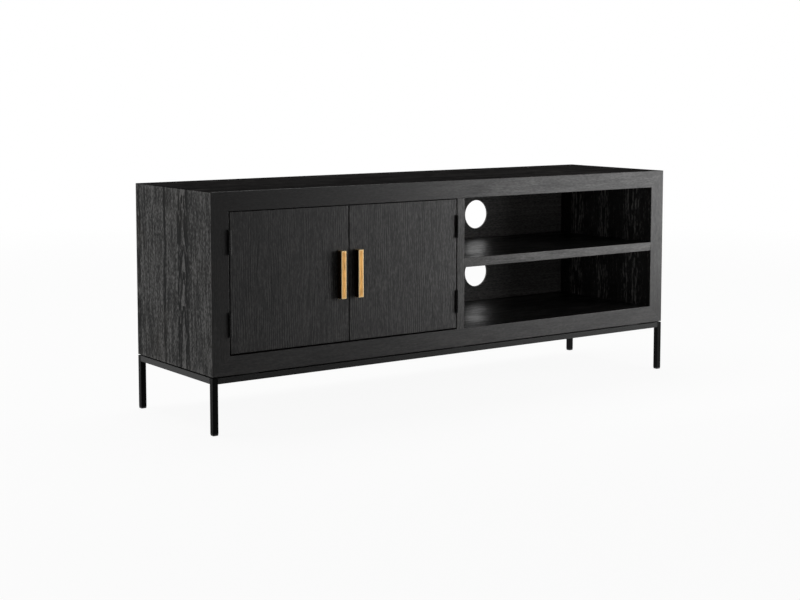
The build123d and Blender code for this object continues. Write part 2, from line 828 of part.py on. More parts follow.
base_screws = fastener_set(
    pan_head_screw(
        base_screw_diameter,
        base_screw_head,
        base_screw_head_height,
        base_screw_length,
        base_screw_diameter,
    ),
    seats(base_screw_points, down),
)
write(base_screws, "base_screws")
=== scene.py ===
import json
import math
import bpy
import numpy as np
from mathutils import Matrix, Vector


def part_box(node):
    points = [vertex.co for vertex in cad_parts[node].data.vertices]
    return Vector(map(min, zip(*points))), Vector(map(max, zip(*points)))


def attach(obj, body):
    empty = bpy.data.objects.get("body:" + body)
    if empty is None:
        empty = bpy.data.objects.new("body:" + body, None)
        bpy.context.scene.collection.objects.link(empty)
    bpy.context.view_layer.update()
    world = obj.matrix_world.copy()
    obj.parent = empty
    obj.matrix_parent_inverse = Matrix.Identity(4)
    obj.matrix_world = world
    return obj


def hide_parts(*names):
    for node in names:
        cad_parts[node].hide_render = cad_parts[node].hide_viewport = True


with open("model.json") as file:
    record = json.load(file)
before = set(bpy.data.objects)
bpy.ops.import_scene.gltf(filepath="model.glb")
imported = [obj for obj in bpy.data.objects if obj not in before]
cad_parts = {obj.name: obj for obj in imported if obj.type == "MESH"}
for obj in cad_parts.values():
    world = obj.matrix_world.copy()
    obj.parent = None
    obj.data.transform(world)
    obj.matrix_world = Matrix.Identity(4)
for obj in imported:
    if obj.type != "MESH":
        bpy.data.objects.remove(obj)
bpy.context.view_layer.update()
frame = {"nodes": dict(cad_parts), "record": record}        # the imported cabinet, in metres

scene = bpy.context.scene
scene.view_settings.view_transform = "Standard"
mm = 0.001
print("frame loaded,", len(frame["nodes"]), "nodes")


# Shared helpers

mixFactor, mixFrom, mixTo, mixColour = 0, 6, 7, 2      # a Mix node's sockets for colours


def toLinear(hexColour):
    # sRGB hex to linear light, with the standard two-part curve
    parts = [int(hexColour[i:i + 2], 16) / 255 for i in (1, 3, 5)]
    return [p / 12.92 if p <= 0.04045 else ((p + 0.055) / 1.055) ** 2.4 for p in parts] + [1.0]


def addNode(tree, kind, settings=None, links=None):
    # One node: settings are its properties, its inputs' values or a ramp's (position, hex) stops,
    # and links feed its inputs
    node = tree.nodes.new(kind)
    for key, value in (settings or {}).items():
        if key == "stops":
            elements = node.color_ramp.elements
            while len(elements) < len(value):
                elements.new(0.5)
            for element, (position, hexColour) in zip(elements, value):
                element.position = position
                element.color = toLinear(hexColour)
        elif isinstance(key, str) and hasattr(node, key):
            setattr(node, key, value)
        else:
            node.inputs[key].default_value = value
    for key, socket in (links or {}).items():
        tree.links.new(socket, node.inputs[key])
    return node


def newMaterial(name, settings):
    # A material with one Principled shader; settings are the values that hold all over the surface
    material = bpy.data.materials.new(name)
    material.use_nodes = True
    tree = material.node_tree
    shader = tree.nodes["Principled BSDF"]
    for key, value in settings.items():
        shader.inputs[key].default_value = value
    return material, tree, shader


def cloudyPattern(tree, cell, detail, seed=0.0):
    # A soft random pattern on Object coordinates, whose cells measure (x, y, z) in metres
    place = addNode(tree, "ShaderNodeTexCoord")
    mapping = addNode(
        tree,
        "ShaderNodeMapping",
        {"Location": (seed, seed, seed), "Scale": [1 / length for length in cell]},
        {"Vector": place.outputs["Object"]},
    )
    noise = addNode(
        tree,
        "ShaderNodeTexNoise",
        {"Scale": 1.0, "Detail": detail},
        {"Vector": mapping.outputs["Vector"]},
    )
    return noise.outputs["Fac"]


def aimed(name, data, place, ahead):
    # A camera or lamp at place that looks along ahead
    thing = bpy.data.objects.new(name, data)
    thing.location = place
    thing.rotation_mode = "QUATERNION"
    thing.rotation_quaternion = ahead.to_track_quat("-Z", "Y")
    scene.collection.objects.link(thing)
    return thing


# Camera: the photograph's viewpoint

cameraSettings = {
    "place": (-2.5053, -3.4129, 0.8564),
    "yaw": 35.604,
    "pitch": -5.247,
    "lens": 69.46,
    "sensorWide": 36.0,
    "shiftUp": -0.10,
    "reach": 200.0,
}


def addCamera(c):
    yaw, pitch = math.radians(c["yaw"]), math.radians(c["pitch"])
    level = math.cos(pitch)
    ahead = Vector((math.sin(yaw) * level, math.cos(yaw) * level, math.sin(pitch)))
    data = bpy.data.cameras.new("camera")
    data.sensor_fit = "HORIZONTAL"
    data.sensor_width = c["sensorWide"]
    data.lens = c["lens"]
    data.shift_y = c["shiftUp"]
    data.clip_end = c["reach"]
    scene.camera = aimed("camera", data, c["place"], ahead)


addCamera(cameraSettings)
print("camera placed")


# Floor, surroundings and lights

stageSettings = {
    "floorHalf": 30.0,
    "floorColour": "#f4f4f3",
    "floorRough": 0.9,
    "bounceColour": "#545454",
    "whiteNear": 0.93,             # share of plain white that the eye sees on the floor close by
    "nearReach": 1.2,
    "farReach": 5.0,
    "ambient": 0.03,
    "dim": (-0.3, 0.3),            # reflections find a dim room in front, a white backdrop behind
    "cardLine": (1.0, 0.72, 0.0),  # and a floor that brightens along this direction
    "card": (-0.4, 0.6),
}
pureWhite = (1.0, 1.0, 1.0, 1.0)

lampSettings = {
    "right_softbox": {
        "place": (2.42, -1.66, 0.6), "aim": (0.4, -0.2, 0.36),
        "size": (2.0, 2.0), "power": 58.0, "gloss": True,
    },
    "left_softbox": {
        "place": (-3.0, 0.9, 0.9), "aim": (-0.75, 0.0, 0.36),
        "size": (2.0, 1.8), "power": 31.0, "gloss": True,
    },
    "top_softbox": {
        "place": (0.0, 1.0, 2.9), "aim": (0.0, 0.7, 0.0),
        "size": (3.4, 1.8), "power": 60.0, "gloss": True,
    },
    "bay_card": {
        "place": (0.42, -0.75, 0.42), "aim": (0.5, 0.2, 0.36),
        "size": (0.7, 0.35), "power": 0.9, "gloss": False,
    },
}


def seenRays(tree, output, card, s=stageSettings):
    # 1 for rays that show the surroundings, straight to the eye or through something clear;
    # reflections count by how far back the place or direction lies that they meet, and with a card
    # by how far to the right too
    path = addNode(tree, "ShaderNodeLightPath").outputs
    place = addNode(tree, "ShaderNodeTexCoord").outputs[output]
    parts = addNode(tree, "ShaderNodeSeparateXYZ", links={0: place})
    pale = addNode(
        tree,
        "ShaderNodeMapRange",
        {"From Min": s["dim"][0], "From Max": s["dim"][1]},
        {"Value": parts.outputs["Y"]},
    ).outputs["Result"]
    if card:
        aside = addNode(
            tree,
            "ShaderNodeVectorMath",
            {"operation": "DOT_PRODUCT", 1: s["cardLine"]},
            {0: place},
        )
        beside = addNode(
            tree,
            "ShaderNodeMapRange",
            {"From Min": s["card"][0], "From Max": s["card"][1]},
            {"Value": aside.outputs["Value"]},
        ).outputs["Result"]
        larger = {0: pale, 1: beside}
        pale = addNode(tree, "ShaderNodeMath", {"operation": "MAXIMUM"}, larger).outputs[0]
    mirrored = {0: path["Is Glossy Ray"], 1: pale}
    seen = addNode(tree, "ShaderNodeMath", {"operation": "MULTIPLY"}, mirrored).outputs[0]
    for ray in ("Is Camera Ray", "Is Transmission Ray"):
        either = {0: seen, 1: path[ray]}
        seen = addNode(tree, "ShaderNodeMath", {"operation": "MAXIMUM"}, either).outputs[0]
    return seen


def addSurroundings(s):
    world = bpy.data.worlds.new("studio")
    scene.world = world
    world.use_nodes = True
    tree = world.node_tree
    tree.nodes.clear()
    lit, shown = [
        addNode(tree, "ShaderNodeBackground", {"Color": pureWhite, "Strength": strength}).outputs[0]
        for strength in (s["ambient"], 1.0)
    ]
    mix = addNode(
        tree,
        "ShaderNodeMixShader",
        links={0: seenRays(tree, "Generated", False), 1: lit, 2: shown},
    )
    addNode(tree, "ShaderNodeOutputWorld", links={"Surface": mix.outputs[0]})


def addFloor(s):
    half = s["floorHalf"]
    corners = [(-half, -half, 0), (half, -half, 0), (half, half, 0), (-half, half, 0)]
    mesh = bpy.data.meshes.new("floor")
    mesh.from_pydata(corners, [], [(0, 1, 2, 3)])
    floor = bpy.data.objects.new("floor", mesh)
    scene.collection.objects.link(floor)
    # matt white paper sweep: no gleam, only the soft shadow of the cabinet
    material, tree, shader = newMaterial(
        "matt_white_floor", {"Roughness": s["floorRough"], "Specular IOR Level": 0.0}
    )
    # light that bounces up meets a greyer floor, so the black wood keeps its depth
    path = addNode(tree, "ShaderNodeLightPath")
    paint = addNode(
        tree,
        "ShaderNodeMix",
        {
            "data_type": "RGBA",
            mixFrom: toLinear(s["floorColour"]),
            mixTo: toLinear(s["bounceColour"]),
        },
        {mixFactor: path.outputs["Is Diffuse Ray"]},
    )
    tree.links.new(paint.outputs[mixColour], shader.inputs["Base Color"])
    place = addNode(tree, "ShaderNodeTexCoord").outputs["Object"]
    distance = addNode(tree, "ShaderNodeVectorMath", {"operation": "LENGTH"}, {0: place})
    share = addNode(
        tree,
        "ShaderNodeMapRange",
        {"From Min": s["nearReach"], "From Max": s["farReach"], "To Min": s["whiteNear"]},
        {"Value": distance.outputs["Value"]},
    )
    seen = addNode(
        tree,
        "ShaderNodeMath",
        {"operation": "MULTIPLY"},
        {0: share.outputs["Result"], 1: seenRays(tree, "Object", True)},
    )
    white = addNode(tree, "ShaderNodeEmission", {"Color": pureWhite, "Strength": 1.0})
    mix = addNode(
        tree,
        "ShaderNodeMixShader",
        links={0: seen.outputs[0], 1: shader.outputs["BSDF"], 2: white.outputs["Emission"]},
    )
    tree.links.new(mix.outputs[0], tree.nodes["Material Output"].inputs["Surface"])
    mesh.materials.append(material)


def addLamps(lamps):
    for name, s in lamps.items():
        data = bpy.data.lights.new(name, "AREA")
        data.shape = "RECTANGLE"
        data.size, data.size_y = s["size"]
        data.energy = s["power"]
        lamp = aimed(name, data, s["place"], Vector(s["aim"]) - Vector(s["place"]))
        lamp.visible_camera = False
        lamp.visible_glossy = s["gloss"]


addSurroundings(stageSettings)
addFloor(stageSettings)
addLamps(lampSettings)
print("stage lit")


# Finishes

# How the oak's patterns are read: ranges and stops are parts of a pattern that runs from 0 to 1
oakPattern = {
    "poreDetail": 3.0, "poreRange": (0.3, 0.7),
    "lineDetail": 2.0, "lineSeed": 8.0,
    "patchDetail": 1.0, "patchSeed": 4.0, "patchRange": (0.5, 0.8),
    "groove": 0.05, "ridge": 0.55, "wearAndGlint": 1.0,
}


def blackOak(name, grainAxis, f, p=oakPattern):
    # Oak veneer, wire-brushed and stained black under a thin matt lacquer: the open grain stays
    # black, the ridges between are worn a little greyer, and short pores run along them
    material, tree, shader = newMaterial(name, {"Specular IOR Level": f["specular"]})
    poreCell = [f["poreLong"] if axis == grainAxis else f["poreWide"] for axis in "xyz"]
    pores = cloudyPattern(tree, poreCell, p["poreDetail"])
    if f["cut"]:
        # pieces made here carry their grain as an attribute
        grain = addNode(tree, "ShaderNodeAttribute", {"attribute_name": "grain"}).outputs["Fac"]
    else:
        lineCell = [f["lineLong"] if axis == grainAxis else f["lineWide"] for axis in "xyz"]
        grain = cloudyPattern(tree, lineCell, p["lineDetail"], p["lineSeed"])
    low, high = p["poreRange"]
    flecks = addNode(
        tree,
        "ShaderNodeMapRange",
        {"From Min": low, "From Max": high, "To Min": -f["flecks"], "To Max": f["flecks"]},
        {"Value": pores},
    )
    both = {0: grain, 1: flecks.outputs["Result"]}
    tone = addNode(tree, "ShaderNodeMath", {"operation": "ADD"}, both).outputs[0]
    stops = [(p[part], f[part]) for part in ("groove", "ridge", "wearAndGlint")]
    dyed = addNode(tree, "ShaderNodeValToRGB", {"stops": stops}, {"Fac": tone})
    patches = cloudyPattern(tree, [f["patch"]] * 3, p["patchDetail"], p["patchSeed"])
    low, high = p["patchRange"]
    faded = addNode(
        tree,
        "ShaderNodeMapRange",
        {"From Min": low, "From Max": high, "To Max": f["fade"]},
        {"Value": patches},
    )
    colour = addNode(
        tree,
        "ShaderNodeMix",
        {"data_type": "RGBA", mixTo: toLinear(f["warm"])},
        {mixFactor: faded.outputs["Result"], mixFrom: dyed.outputs["Color"]},
    )
    tree.links.new(colour.outputs[mixColour], shader.inputs["Base Color"])
    sheen = addNode(
        tree,
        "ShaderNodeMapRange",
        {"To Min": f["grooveRough"], "To Max": f["ridgeRough"]},
        {"Value": tone},
    )
    tree.links.new(sheen.outputs["Result"], shader.inputs["Roughness"])
    bump = addNode(
        tree,
        "ShaderNodeBump",
        {"Strength": f["bump"], "Distance": f["poreDepth"]},
        {"Height": pores},
    )
    tree.links.new(bump.outputs["Normal"], shader.inputs["Normal"])
    return material


# Real oak pores are about 0.3 mm wide; they are drawn wider here so that they show
doorFinish = {
    "groove": "#131313", "ridge": "#343333", "wearAndGlint": "#565554",
    "warm": "#4a433b", "fade": 0.0, "patch": 120 * mm,
    "specular": 0.35, "grooveRough": 0.54, "ridgeRough": 0.36,
    "cut": True, "flecks": 0.38, "poreLong": 10 * mm, "poreWide": 2.8 * mm,
    "poreDepth": 0.15 * mm, "bump": 0.5,
}
sideFinish = {
    **doorFinish, "groove": "#080808", "ridge": "#2e2e2d", "wearAndGlint": "#666564", "fade": 0.12,
    "specular": 0.1, "grooveRough": 0.7, "ridgeRough": 0.5,
    "flecks": 0.5, "poreLong": 9 * mm, "bump": 0.8,
}
edgeFinish = {
    **doorFinish, "groove": "#161616", "ridge": "#2b2a2a", "wearAndGlint": "#3e3d3c",
    "grooveRough": 0.46, "ridgeRough": 0.28, "flecks": 0.3, "bump": 0.9,
}
# a paler copy of the lipping for shelf and divider edges: painted light
litInnerEdgeFinish = {**edgeFinish, "ridge": "#3c3b3a", "wearAndGlint": "#575655"}
# a paler copy of the lipping for the bottom board's front edge: a painted reflection of the light
litLowEdgeFinish = {**edgeFinish, "ridge": "#313030", "wearAndGlint": "#464544"}
# a darker copy of the oak for the top and the bottom's underside: painted shade, with no sheen
shadedTopFinish = {
    **doorFinish, "groove": "#121212", "ridge": "#201f1f", "wearAndGlint": "#383736", "specular": 0.0,
    "flecks": 0.3, "poreLong": 40 * mm, "poreWide": 5 * mm,
}
# inside walls and divider: the palest stop is a painted highlight, pale grain lines that stand in
# for glints
wallFinish = {
    **doorFinish, "groove": "#0e0e0e", "ridge": "#232222", "wearAndGlint": "#8c8a88", "flecks": 0.3,
}
# a darker copy of the oak for the floors, shelves and ceilings inside the bays: painted shade in
# the recesses
shadedFloorFinish = {
    **doorFinish, "groove": "#090909", "ridge": "#131212", "wearAndGlint": "#2a2929", "specular": 0.34,
    "grooveRough": 0.5, "ridgeRough": 0.3, "bump": 0.9,
}
backFinish = {
    **doorFinish, "groove": "#2a2929", "ridge": "#454443", "wearAndGlint": "#575655", "specular": 0.12,
    "cut": False, "lineLong": 200 * mm, "lineWide": 4 * mm,
}

steelFinish = {
    "light": "#262626", "dark": "#191919", "cell": 3 * mm, "detail": 3.0, "range": (0.3, 0.7),
    "specular": 0.25, "rough": (0.42, 0.58),
    "peel": 1.2 * mm, "peelDetail": 1.0, "peelSeed": 2.0, "peelDepth": 0.05 * mm, "bump": 0.5,
}
# the legs take a darker copy of the rails' powder coat: painted shade
shadedLegFinish = {**steelFinish, "light": "#1b1b1b", "dark": "#101010", "specular": 0.05}


def mottle(tree, shader, f):
    # A fine cloudiness in colour and gloss, from dark and rough[0] to light and rough[1]
    cloud = cloudyPattern(tree, [f["cell"]] * 3, f["detail"])
    stops = list(zip(f["range"], (f["dark"], f["light"])))
    paint = addNode(tree, "ShaderNodeValToRGB", {"stops": stops}, {"Fac": cloud})
    tree.links.new(paint.outputs["Color"], shader.inputs["Base Color"])
    low, high = f["rough"]
    gloss = addNode(tree, "ShaderNodeMapRange", {"To Min": low, "To Max": high}, {"Value": cloud})
    tree.links.new(gloss.outputs["Result"], shader.inputs["Roughness"])


def powderCoat(name, f):
    # Matt black powder coat baked on steel tube: an even dark grey with a fine orange peel
    material, tree, shader = newMaterial(name, {"Specular IOR Level": f["specular"]})
    mottle(tree, shader, f)
    peel = cloudyPattern(tree, [f["peel"]] * 3, f["peelDetail"], f["peelSeed"])
    bump = addNode(
        tree,
        "ShaderNodeBump",
        {"Strength": f["bump"], "Distance": f["peelDepth"]},
        {"Height": peel},
    )
    tree.links.new(bump.outputs["Normal"], shader.inputs["Normal"])
    return material


# Brushing lines are finer than this on real brass; they are drawn coarser so that they show
# the darker brown on the bar's sides is painted shade, and the palest colour along the edges is a
# painted highlight
brassFinish = {
    "face": "#f4ba6c", "dark": "#b4834a", "edge": "#ffe6b4", "side": "#46301a",
    "lineWide": 2.0 * mm, "lineLong": 22 * mm, "lineDetail": 3.0, "lineRange": (0.35, 0.6),
    "rough": (0.42, 0.56),
}


def brushedBrass(name, f):
    # Solid brass bar: face brushed lengthwise, edges painted pale as a highlight, sides painted
    # darker as shade
    material, tree, shader = newMaterial(name, {"Metallic": 1.0})
    lineCell = (f["lineWide"], f["lineWide"], f["lineLong"])
    lines = cloudyPattern(tree, lineCell, f["lineDetail"])
    stops = list(zip(f["lineRange"], (f["dark"], f["face"])))
    face = addNode(tree, "ShaderNodeValToRGB", {"stops": stops}, {"Fac": lines})
    edge, front = [
        addNode(tree, "ShaderNodeAttribute", {"attribute_name": key}).outputs["Fac"]
        for key in ("edge", "front")
    ]
    # a pale brass painted along the edges and ends: a painted highlight
    highlighted = addNode(
        tree,
        "ShaderNodeMix",
        {"data_type": "RGBA", mixTo: toLinear(f["edge"])},
        {mixFactor: edge, mixFrom: face.outputs["Color"]},
    )
    # the sides, where the front mask falls to 0, take the darker brass: painted shade
    colour = addNode(
        tree,
        "ShaderNodeMix",
        {"data_type": "RGBA", mixFrom: toLinear(f["side"])},
        {mixFactor: front, mixTo: highlighted.outputs[mixColour]},
    )
    tree.links.new(colour.outputs[mixColour], shader.inputs["Base Color"])
    low, high = f["rough"]
    rough = addNode(tree, "ShaderNodeMapRange", {"To Min": low, "To Max": high}, {"Value": lines})
    tree.links.new(rough.outputs["Result"], shader.inputs["Roughness"])
    return material


# Small hardware, plain but for the cloudiness it has out of its box
smallFinish = {"detail": 4.0, "range": (0.3, 0.7)}
# blackened steel: nearly black, with a dull gleam on its knuckles
hingeFinish = {
    **smallFinish, "shader": {"Specular IOR Level": 0.4}, "light": "#1d1d1d", "dark": "#101010",
    "cell": 4 * mm, "rough": (0.35, 0.5),
}
# zinc plating: a bright cool grey, clouded where it came duller out of the bath
zincFinish = {
    **smallFinish, "shader": {"Metallic": 1.0}, "light": "#c4c7c9", "dark": "#a4a7a9",
    "cell": 3 * mm, "rough": (0.25, 0.45),
}
# turned beech: pale, warm and dull, with a soft mottle
beechFinish = {
    **smallFinish, "shader": {"Specular IOR Level": 0.3}, "light": "#c9a47a", "dark": "#b08a60",
    "cell": 6 * mm, "rough": (0.5, 0.7),
}
# moulded plastic: soft black with a satin skin, a little uneven
plasticFinish = {
    **smallFinish, "shader": {"IOR": 1.5}, "light": "#202020", "dark": "#161616",
    "cell": 1 * mm, "rough": (0.45, 0.6),
}
# ground ferrite: dull dark grey with a grainy face
ferriteFinish = {
    **smallFinish, "shader": {"Specular IOR Level": 0.4}, "light": "#3c3c3e", "dark": "#2c2c2e",
    "cell": 2 * mm, "rough": (0.5, 0.7),
}


def mottledFinish(name, f):
    material, tree, shader = newMaterial(name, f["shader"])
    mottle(tree, shader, f)
    return material


finishes = {
    "doorOak": blackOak("black_oak_door_veneer", "z", doorFinish),
    "sideOak": blackOak("black_oak_crown_cut_veneer", "z", sideFinish),
    "wallOak": blackOak("black_oak_inner_wall_veneer", "z", wallFinish),
    "shadedInnerOak": blackOak("black_oak_inner_floor_veneer_painted_shade", "x", shadedFloorFinish),
    "shadedOuterOak": blackOak("black_oak_matt_top_veneer_painted_shade", "x", shadedTopFinish),
    "longEdge": blackOak("black_oak_lengthwise_lipping", "x", edgeFinish),
    "uprightEdge": blackOak("black_oak_upright_lipping", "z", edgeFinish),
    "lowEdge": blackOak("black_oak_bottom_lipping", "x", litLowEdgeFinish),
    "shelfEdge": blackOak("black_oak_shelf_lipping", "x", litInnerEdgeFinish),
    "dividerEdge": blackOak("black_oak_divider_lipping", "z", litInnerEdgeFinish),
    "backOak": blackOak("black_oak_back_board_veneer", "x", backFinish),
    "steel": powderCoat("black_powder_coated_steel", steelFinish),
    "shadedLegSteel": powderCoat("dark_powder_coated_steel", shadedLegFinish),
    "brass": brushedBrass("brushed_brass", brassFinish),
    "hinge": mottledFinish("black_hinge_steel", hingeFinish),
    "zinc": mottledFinish("zinc_plated_steel", zincFinish),
    "beech": mottledFinish("turned_beech", beechFinish),
    "plastic": mottledFinish("moulded_black_plastic", plasticFinish),
    "ferrite": mottledFinish("ground_ferrite", ferriteFinish),
}
slotFinish = {
    "black_oak_veneer": "backOak",
    "black_powder_coat": "steel",
    "brushed_brass": "brass",
    "black_hinge_steel": "hinge",
    "zinc_steel": "zinc",
    "beech": "beech",
    "black_plastic": "plastic",
    "ferrite": "ferrite",
}
for entry in frame["record"]["subparts"]:
    node = entry["node"]
    # legs get the darker copy of the powder coat: painted shade
    finish = "shadedLegSteel" if node.endswith("_leg") else slotFinish[entry["material_slot"]]
    for slot in frame["nodes"][node].material_slots:
        slot.material = finishes[finish]
print("finishes made:", len(finishes))


# Boards: a profile carried along the grain, with the growth rings cut into its faces

grainSettings = {
    "lattice": 256,
    "ripple": 0.25, "rippleTimes": 4,       # a finer bend on the bend, by size and by count
    "fibreLong": 0.4, "fibreWide": 0.6, "fibreShare": 0.5,      # fibres, against a streak
    "broadLong": 2, "broadWide": 8,         # broad bands, against a streak
    "patchMiddle": 0.35, "patchSwing": 1.1,
    "flameDrift": 0.6, "flameTaper": 0.7, "flameEase": 0.3,
    "outlineMiddle": 0.8,
}


def smoothNoise(u, v, seed, size=grainSettings["lattice"]):
    # Random heights on a unit lattice, eased from point to point by 3t^2 - 2t^3
    lattice = np.random.default_rng(seed).uniform(-1, 1, (size, size))
    cellU, cellV = np.floor(u).astype(int), np.floor(v).astype(int)
    tu, tv = u - cellU, v - cellV
    tu, tv = tu * tu * (3 - 2 * tu), tv * tv * (3 - 2 * tv)
    u0, u1 = cellU % size, (cellU + 1) % size
    v0, v1 = cellV % size, (cellV + 1) % size
    near = lattice[u0, v0] * (1 - tu) + lattice[u1, v0] * tu
    far = lattice[u0, v1] * (1 - tu) + lattice[u1, v1] * tu
    return near * (1 - tv) + far * tv


def grainTone(along, across, cut, seed, g=grainSettings):
    # Tone of the grain, from 0 or less in an open groove to 1 on a worn ridge. Growth rings sawn
    # through make lines a ring apart, strong in some patches and faint in others; noise drawn out
    # along the grain adds streaks. About each heart line the rings close into nested flames:
    # outlines whose half width is wide * (k + 1 - part)^taper, where part runs from 0 at a flame's
    # foot to 1 at its tip.
    bendLong, bendWide = cut["bendLong"], cut["bendWide"]
    streakLong, streakWide = cut["streakLong"], cut["streakWide"]
    times = g["rippleTimes"]
    bend = cut["bend"] * smoothNoise(along / bendLong, across / bendWide, seed)
    ripple = smoothNoise(along * times / bendLong, across * times / bendWide, seed + 4)
    shifted = across + bend + g["ripple"] * cut["bend"] * ripple
    streak = smoothNoise(along / streakLong, shifted / streakWide, seed + 1)
    fibre = smoothNoise(
        along / (g["fibreLong"] * streakLong), shifted / (g["fibreWide"] * streakWide), seed + 2
    )
    broad = smoothNoise(
        along / (g["broadLong"] * streakLong), shifted / (g["broadWide"] * streakWide), seed + 3
    )
    patch = smoothNoise(along / cut["patchLong"], across / cut["patchWide"], seed + 5)
    patch = np.clip(g["patchMiddle"] + g["patchSwing"] * patch, 0, 1)
    drawnOut = streak + g["fibreShare"] * fibre + cut["broad"] * broad
    tone = cut["plain"] + cut["streak"] * drawnOut
    tone = tone + cut["rings"] * patch * np.cos(2 * np.pi * shifted / cut["ring"])
    broken = np.clip(g["outlineMiddle"] + cut["broken"] * fibre, 0, None)
    for index, (heart, wide, long, line, middle) in enumerate(cut["hearts"]):
        offset = np.abs(shifted - heart)
        drift = smoothNoise(along / long, 0 * along, seed + 10 + index)
        phase = cut["tip"] * along / long + g["flameDrift"] * drift
        part = phase - np.floor(phase)
        tone = tone + middle * np.exp(-(offset / wide) ** 4)
        for k in range(cut["nest"]):
            rise = k + 1 - part
            outline = offset - wide * rise ** g["flameTaper"]
            drawn = np.exp(-(outline / cut["lineWide"]) ** 2)
            fainter = 1 - rise / (cut["nest"] + g["flameEase"])
            tone = tone + line * drawn * fainter * broken
    return np.clip(tone, cut["deepest"], 1)


# hearts: distance from the board's front edge, half width and length of a flame, how dark (-) or
# pale its outline is, and how pale its middle
doorCut = {
    "hearts": (
        (95 * mm, 26 * mm, 330 * mm, -0.3, 0.0),
        (245 * mm, 22 * mm, 210 * mm, -0.4, 0.0),
    ),
    "tip": 1, "nest": 3, "lineWide": 2 * mm, "broken": 1.6, "deepest": 0.0, "plain": 0.55,
    "rings": 0.5, "ring": 6.2 * mm, "patchLong": 75 * mm, "patchWide": 18 * mm,
    "streak": 0.24, "streakLong": 28 * mm, "streakWide": 3.2 * mm, "broad": 0.3,
    "bend": 4 * mm, "bendLong": 95 * mm, "bendWide": 45 * mm,
}
crownCut = {
    **doorCut,
    "hearts": (
        (142 * mm, 17 * mm, 110 * mm, -3.4, 0.3),
        (242 * mm, 1 * mm, 40 * mm, -1.6, 0.0),
        (388 * mm, 6 * mm, 260 * mm, -1.2, 0.0),
    ),
    "nest": 2, "lineWide": 4 * mm, "broken": 2.2, "deepest": -0.9, "rings": 0.0,
    "streak": 0.3, "streakLong": 42 * mm, "streakWide": 4.4 * mm, "broad": 0.4, "bendLong": 90 * mm,
}
# the pale outlines (+) on the inner right wall are painted highlights, glints in the grain
wallCut = {
    **doorCut,
    "hearts": (
        (75 * mm, 14 * mm, 120 * mm, 1.0, 0.0),
        (190 * mm, 12 * mm, 100 * mm, 0.8, 0.0),
        (310 * mm, 18 * mm, 150 * mm, 1.0, 0.0),
    ),
    "plain": 0.36, "tip": -1, "lineWide": 2.6 * mm, "rings": 0.2, "streak": 0.2,
    "streakLong": 40 * mm, "bend": 5 * mm, "bendLong": 80 * mm,
}
plainCut = {
    **doorCut, "hearts": (), "rings": 0.2, "streak": 0.16, "streakLong": 150 * mm, "broad": 0.8,
}
floorCut = {**plainCut, "streak": 0.4, "streakLong": 60 * mm, "streakWide": 9 * mm}
topCut = {
    **plainCut,
    "hearts": (
        (95 * mm, 24 * mm, 460 * mm, -0.5, 0.1),
        (225 * mm, 16 * mm, 330 * mm, -0.5, 0.1),
        (335 * mm, 20 * mm, 520 * mm, -0.5, 0.1),
    ),
    "lineWide": 2.6 * mm, "patchLong": 400 * mm,
}
edgeCut = {
    **plainCut, "rings": 0.0, "streak": 0.2, "streakLong": 40 * mm, "streakWide": 2.6 * mm,
    "bend": 1 * mm,
}

boardSettings = {
    "edgeRound": 1.0 * mm,
    "mitreEase": 1.0 * mm,
    "rebate": 14 * mm,     # how far the seat of the back board cuts into a carcass board
    "arcSteps": 4,
    "endSteps": (0.08, 0.3, 0.6, 1.0),      # stations on a rounded end, in parts of its radius
    "relief": 0.22 * mm,
    "flush": 0.55,         # a tone this pale or paler lies level with the face
    "fine": 1.1 * mm,      # spacing across the grain where a face is seen
    "medium": 3.5 * mm,    # where it is seldom seen
    "coarse": 12 * mm,     # and where it is hidden
    "fade": 3 * mm,        # the relief dies out this close to an edge
    "highlightWide": 7 * mm,     # and an exposed edge is painted paler over this width: a painted highlight
    "sink": 0.12 * mm,     # faces that carry hinge leaves lie this much under them
}
sharpAngle = math.radians(38)      # edges that turn by more than this are shaded sharp


def traceProfile(corners, radii, runs, arcSteps):
    # Walks the outline once: each run at its own spacing, each rounded corner as a quarter arc.
    # Gives the points, their normals, their run's number, and how far along it they lie and how far
    # from its nearer end
    points, normals, across, owner, inside = [], [], [], [], []
    count = len(corners)
    for i in range(count):
        start, end = np.array(corners[i]), np.array(corners[(i + 1) % count])
        length = np.linalg.norm(end - start)
        ahead = (end - start) / length
        out = np.array((ahead[1], -ahead[0]))
        r0, r1 = radii[i], radii[(i + 1) % count]
        steps = max(2, round((length - r0 - r1) / runs[i]["step"]) + 1)
        run = np.linspace(r0, length - r1, steps)
        if r1 == 0:
            run = run[:-1]
        turn = np.linspace(0, np.pi / 2, arcSteps + 1)[1:-1] if r1 else np.zeros(0)
        arcOut = np.outer(np.cos(turn), out) + np.outer(np.sin(turn), ahead)
        arc = end - r1 * ahead - r1 * out + r1 * arcOut
        points += [start + np.outer(run, ahead), arc]
        normals += [np.tile(out, (len(run), 1)), arcOut]
        across += [run, np.full(len(turn), length)]
        owner += [np.full(len(run) + len(turn), i)]
        inside += [np.minimum(run - r0, length - r1 - run), np.zeros(len(turn))]
    return [np.concatenate(part) for part in (points, normals, across, owner, inside)]


